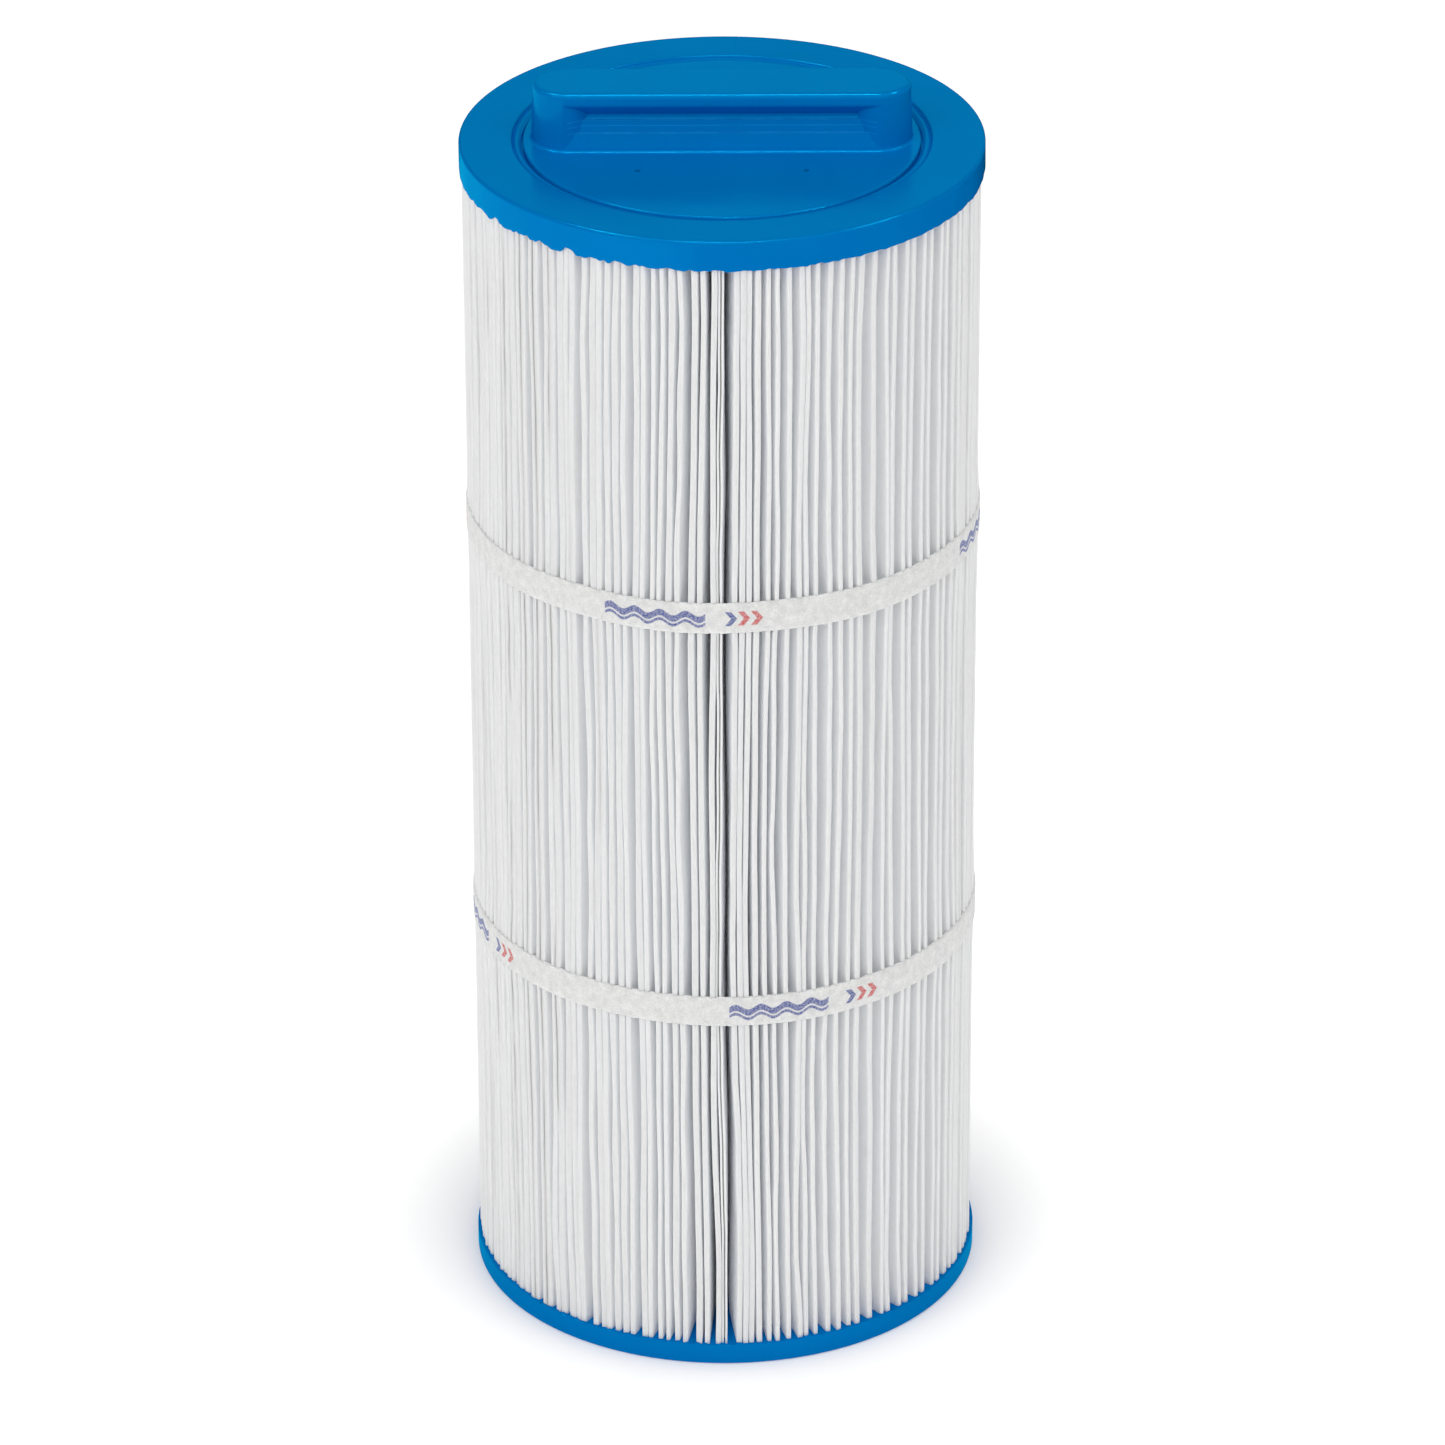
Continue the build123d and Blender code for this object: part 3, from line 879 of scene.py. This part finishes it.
def make_band(node, seed):
    """One length of tape wound round the folds, its end lapped over its start."""
    rng = np.random.default_rng(seed)
    low, high = bands[node]
    middle, width = (low.z + high.z) / 2, high.z - low.z
    angles = np.linspace(LAP_START, LAP_START + TURN + LAP, TAPE_STEPS)
    over = np.clip((angles - LAP_START - TURN + math.radians(1.5)) / math.radians(3), 0, 1)
    over = over * over * (3 - 2 * over)
    base = media_radius - TAPE_BITE + over * (TAPE_THICKNESS + LAP_GAP)
    base = base + TAPE_PUCKER * abs(wobble(rng, angles, 40, 150, 12))
    drift = TAPE_DRIFT * wobble(rng, angles, 2, 9, 6)
    top_edge = drift + width / 2 + TAPE_FRAY * wobble(rng, angles, 60, 300, 20)
    bottom_edge = drift - width / 2 + TAPE_FRAY * wobble(rng, angles, 60, 300, 20)
    dips = [TAPE_EDGE_DIP if share in (0.0, 1.0) else 0.0 for share in TAPE_OUTSIDE]
    stations = [(TAPE_THICKNESS - dip, share) for dip, share in zip(dips, TAPE_OUTSIDE)]
    stations += [(-TAPE_SUNK, share) for share in TAPE_INSIDE]
    loop = []
    for rise, share in stations:
        radius = base + rise
        height = middle + bottom_edge + (top_edge - bottom_edge) * share
        loop.append(np.stack([radius * np.cos(angles), radius * np.sin(angles), height], 1))
    loop = np.stack(loop, 1)
    around = loop.shape[1]
    faces = ring_faces(TAPE_STEPS, around)[: (TAPE_STEPS - 1) * around].tolist()
    faces.append(tuple(range(around)))
    last = (TAPE_STEPS - 1) * around
    faces.append(tuple(range(last, last + around))[::-1])
    faces = [face[::-1] for face in faces]
    piece = make_piece(node + "_tape", loop.reshape(-1, 3), faces, printed_tape, "band_tape", node)
    start = math.radians(PRINT_STARTS[node]) + FRONT
    along = np.repeat((angles - TURN - start) * cap_radius, around)
    up = loop[..., 2].reshape(-1) - middle - np.repeat(drift, around)
    set_uv(piece, "tape", np.stack([along, up], 1))
    weigh_normals(piece, 50)


make_band("upper_band", 17)
make_band("lower_band", 19)

# ---------------------------------------------------------------- CAD nodes that stay


def finish_node(node, material):
    mesh = frame["nodes"][node].data
    mesh.materials.clear()
    mesh.materials.append(material)


finish_node("handle_plate", moulding)
finish_node("core_tube", core_plastic)

# ---------------------------------------------------------------- floor and lights

TONE_GAMMA = 1.2  # opens the shade between the folds a little
FLOOR_SIZE = 12.0
FLOOR_COLOUR = (0.9, 0.9, 0.9, 1)
FLOOR_GLOW_AND_PAINTED_SHADOW = (0.22, 0.72)  # a light table, lit softly from below; its glow is dimmed under the cartridge as a painted contact shadow
FLOOR_PAINTED_SHADOW_REACH = (0.068, 0.11)  # radii where the glow is dimmest and brightest, the reach of the painted contact shadow
WORLD_STRENGTH = 0.3
SOFT_BOX = (1.2, 1.2)
DIFFUSE_BOUNCES = 16  # many, because the light sinks deep between the folds
MAX_BOUNCES = 20


def make_floor():
    material, tree, shader = new_material("floor")
    shader.inputs["Base Color"].default_value = FLOOR_COLOUR
    shader.inputs["Emission Color"].default_value = FLOOR_COLOUR
    parts = split_axes(tree, object_place(tree))
    radius = hypotenuse(tree, parts["X"], parts["Y"])
    # the glow rises away from the cartridge, leaving a painted contact shadow round its base
    glow = spread(tree, radius, *FLOOR_PAINTED_SHADOW_REACH, *FLOOR_GLOW_AND_PAINTED_SHADOW)
    tree.links.new(glow, shader.inputs["Emission Strength"])
    shader.inputs["Roughness"].default_value = 0.9
    shader.inputs["Specular IOR Level"].default_value = 0.0
    half = FLOOR_SIZE / 2
    corners = [(-half, -half, 0), (half, -half, 0), (half, half, 0), (-half, half, 0)]
    mesh = bpy.data.meshes.new("floor")
    mesh.from_pydata(corners, [], [(0, 1, 2, 3)])
    mesh.materials.append(material)
    floor = bpy.data.objects.new("floor", mesh)
    bpy.context.collection.objects.link(floor)


def make_light(name, place, aim, size, power, only_gloss=False):
    """A soft box, or with only_gloss a card that shows in glossy surfaces and lights nothing else."""
    data = bpy.data.lights.new(name, "AREA")
    data.shape = "RECTANGLE"
    data.size, data.size_y = size
    data.energy = power
    light = bpy.data.objects.new(name, data)
    bpy.context.collection.objects.link(light)
    light.visible_camera = False
    light.visible_diffuse = not only_gloss
    light.visible_transmission = not only_gloss
    light.location = place
    light.rotation_mode = "QUATERNION"
    light.rotation_quaternion = (Vector(aim) - Vector(place)).to_track_quat("-Z", "Y")


CARD_RADII = (0.3, 1.6)
CARD_HEIGHT = 4 * MM
CARD_STEPS = 40


def make_card(name, first, last, glow):
    """A card low on the floor, from first to last degrees from the front, that only gloss shows."""
    material, tree, shader = new_material(name)
    shader.inputs["Base Color"].default_value = (0, 0, 0, 1)
    shader.inputs["Roughness"].default_value = 1.0
    shader.inputs["Specular IOR Level"].default_value = 0.0
    shader.inputs["Emission Color"].default_value = (1, 1, 1, 1)
    shader.inputs["Emission Strength"].default_value = glow
    angles = np.radians(np.linspace(first, last, CARD_STEPS)) + FRONT
    rims = [[(r * math.cos(a), r * math.sin(a), CARD_HEIGHT) for a in angles] for r in CARD_RADII]
    faces = [(k, k + 1, CARD_STEPS + k + 1, CARD_STEPS + k) for k in range(CARD_STEPS - 1)]
    mesh = bpy.data.meshes.new(name)
    mesh.from_pydata(rims[0] + rims[1], [], faces)
    mesh.materials.append(material)
    card = bpy.data.objects.new(name, mesh)
    bpy.context.collection.objects.link(card)
    card.visible_camera = False
    card.visible_diffuse = False
    card.visible_shadow = False
    card.visible_transmission = False


def make_world(strength):
    world = bpy.data.worlds.new("world")
    world.use_nodes = True
    world.node_tree.nodes["Background"].inputs["Color"].default_value = (1, 1, 1, 1)
    world.node_tree.nodes["Background"].inputs["Strength"].default_value = strength
    bpy.context.scene.world = world


make_floor()
make_world(WORLD_STRENGTH)
centre = (0, 0, body_top / 2)
make_light("overhead", (0.25, -0.35, 1.35), centre, (1.3, 1.1), 4)
make_light("left", (-1.2, -1.2, 1.5), centre, SOFT_BOX, 8.8)
make_light("front", (0, -1.5, 1.5), centre, SOFT_BOX, 5)
make_light("right", (1.2, -1.2, 1.5), centre, SOFT_BOX, 2.4)
make_light("top_card", (0, -0.15, 1.5), centre, (0.5, 0.3), 12, only_gloss=True)
make_light("top_left_card", (-0.6, 0, 1.45), centre, (0.35, 0.35), 12, only_gloss=True)
make_light("top_right_card", (0.9, 0, 1.35), centre, (0.35, 0.35), 10, only_gloss=True)
make_light("back_card", (0.3, 1.8, 1.25), centre, (2.0, 0.9), 3.4, only_gloss=True)
make_card("left_card", -135, -28, 1.6)
make_card("right_card", -16, 200, 0.0)
bpy.context.scene.cycles.diffuse_bounces = DIFFUSE_BOUNCES
bpy.context.scene.cycles.max_bounces = MAX_BOUNCES
bpy.context.scene.view_settings.view_transform = "Standard"
bpy.context.scene.view_settings.gamma = TONE_GAMMA
